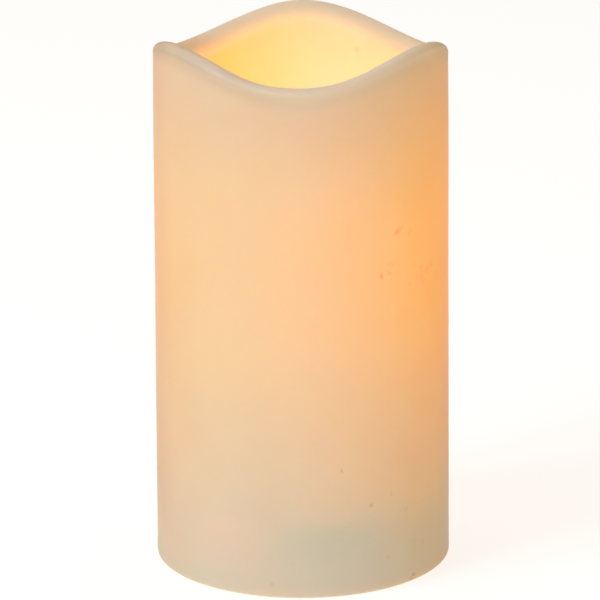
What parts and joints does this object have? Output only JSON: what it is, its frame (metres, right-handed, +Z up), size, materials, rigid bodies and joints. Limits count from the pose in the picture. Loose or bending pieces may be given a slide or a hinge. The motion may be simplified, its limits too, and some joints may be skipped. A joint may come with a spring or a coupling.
{
  "type": "flameless led candle",
  "caption": "Ivory wax pillar candle with a wavy melted rim, lit from inside by an LED on a stem; battery module, slide switch and battery door underneath.",
  "frame": {"origin": "centre of the foot, on the surface that the candle stands on", "axes": "+Z up along the pillar; -Y is the front, where one of the rim's three hollows faces; +X is the front's right-hand side"},
  "size_m": [0.084, 0.084, 0.1524],
  "materials": {
    "wax": "ivory paraffin wax, satin, glowing warm where the lamp is",
    "module_plastic": "moulded ivory plastic, fine texture",
    "cover_plastic": "moulded white plastic, matt",
    "stem_plastic": "moulded white plastic, satin",
    "lamp_epoxy": "clear amber epoxy",
    "tinned_wire": "tinned, bright",
    "screw_steel": "zinc plated",
    "frosted_diffuser": "frosted, translucent, lit from inside",
    "board": "green solder mask",
    "chip": "black moulded package",
    "crystal_can": "drawn can",
    "resistor": "lacquered tan body",
    "capacitor_sleeve": "shrink sleeve",
    "switch_can": "tinned steel",
    "switch_knob": "black moulded knob",
    "door_plastic": "moulded ivory plastic, fine texture",
    "cell_sleeve": "printed sleeve on a steel can, no marks but + and -",
    "contact_nickel": "nickel plated spring steel",
    "wire_red": "PVC insulation",
    "wire_black": "PVC insulation",
    "wire_yellow": "PVC insulation",
    "wire_white": "PVC insulation"
  },
  "bodies": {
    "pillar": {"wax_shell": "wax", "base_housing": "module_plastic", "module_cover": "cover_plastic", "cover_screw_1": "screw_steel", "cover_screw_2": "screw_steel", "cover_screw_3": "screw_steel", "lamp_stem": "stem_plastic", "lamp_lens": "lamp_epoxy", "lamp_lead_anode": "tinned_wire", "lamp_lead_cathode": "tinned_wire", "flame_diffuser": "frosted_diffuser", "circuit_board": "board", "timer_chip": "chip", "timing_crystal": "crystal_can", "resistor": "resistor", "capacitor": "capacitor_sleeve", "board_screw_left": "screw_steel", "board_screw_right": "screw_steel", "switch_case": "switch_can", "battery_front": "cell_sleeve", "battery_rear": "cell_sleeve", "contact_bridge": "contact_nickel", "contact_positive": "contact_nickel", "contact_negative": "contact_nickel", "spring_bridge": "contact_nickel", "spring_negative": "contact_nickel", "wire_red": "wire_red", "wire_black": "wire_black", "wire_lamp_positive": "wire_yellow", "wire_lamp_negative": "wire_white"},
    "slider": {"switch_slider": "switch_knob"},
    "door": {"battery_door": "door_plastic"}
  },
  "joints": [
    {"name": "switch_slide", "type": "slide", "parent": "pillar", "child": "slider", "axis": [1, 0, 0], "range_m": [-0.002, 0.002]},
    {"name": "door_hinge", "type": "hinge", "parent": "pillar", "child": "door", "pos_m": [-0.0282, 0, 0.0024], "axis": [0, 1, 0], "range_deg": [0, 100]}
  ]
}
